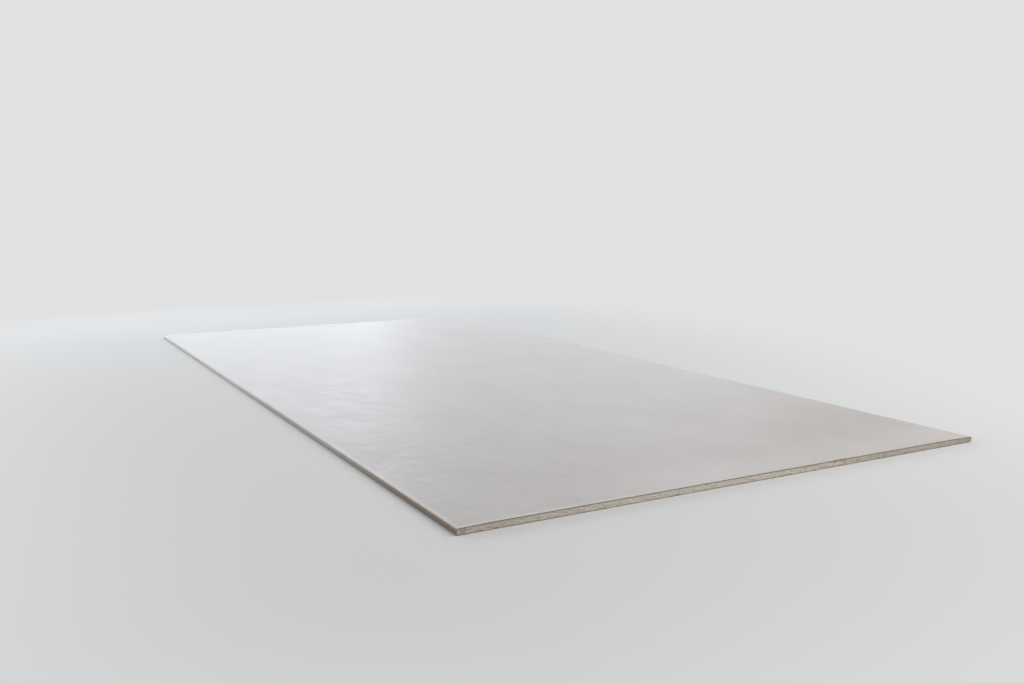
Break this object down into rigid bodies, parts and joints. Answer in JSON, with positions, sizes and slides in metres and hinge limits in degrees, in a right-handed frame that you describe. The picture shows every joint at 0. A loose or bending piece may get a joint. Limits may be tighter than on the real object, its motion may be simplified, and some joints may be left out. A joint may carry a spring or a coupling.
{
  "type": "drywall sheet",
  "caption": "Flat rectangular gypsum board with a paper face and back, long edges tapered and wrapped in the face paper, and square-cut ends that show the gypsum core.",
  "frame": {"origin": "centre of the back, on the surface that the sheet lies on", "axes": "+Z out of the face, +Y along the length, +X across the width"},
  "size_m": [1.2192, 2.4384, 0.0127],
  "materials": {
    "gypsum": "matt, pitted set gypsum",
    "face_paper": "smooth light grey paper with a soft sheen",
    "back_paper": "rough grey-brown recycled paper"
  },
  "bodies": {
    "root": {"gypsum_core": "gypsum", "face_paper": "face_paper", "back_paper": "back_paper"}
  },
  "joints": []
}
